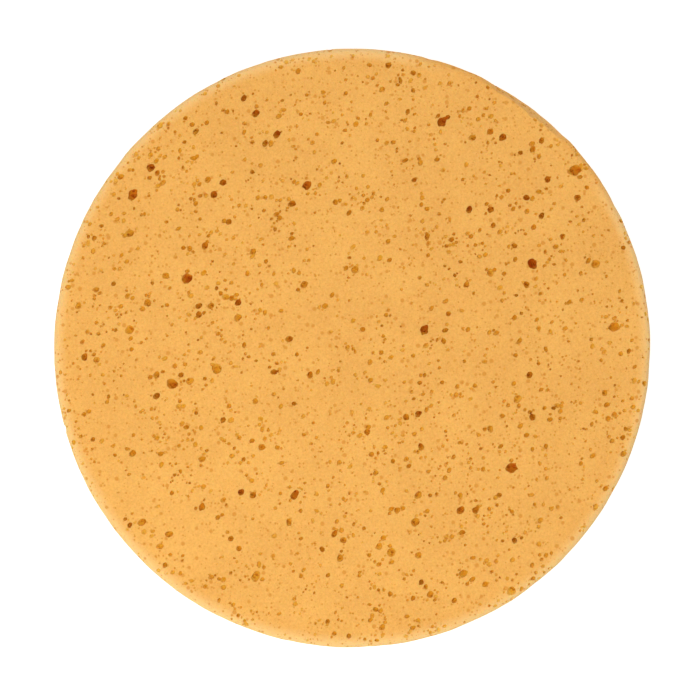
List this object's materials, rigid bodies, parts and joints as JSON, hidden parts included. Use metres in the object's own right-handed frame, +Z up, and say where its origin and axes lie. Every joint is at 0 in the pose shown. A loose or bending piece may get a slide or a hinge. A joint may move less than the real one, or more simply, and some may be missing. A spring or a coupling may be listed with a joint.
{
  "type": "polishing sponge",
  "caption": "Flat round disc of open-cell foam for wiping and polishing, with plain cut faces, softly rolled edges and open cells.",
  "frame": {"origin": "centre of the face that the sponge lies on", "axes": "+Z up through the thickness, from the lying face to the working face; +X and +Y across the disc, with the slanting shave in the edge 54 degrees from +X towards +Y"},
  "size_m": [0.09, 0.09, 0.012],
  "materials": {
    "foam": "dry open-cell polyurethane foam, matte, orange-yellow"
  },
  "bodies": {
    "root": {"foam_disc": "foam"}
  },
  "joints": []
}
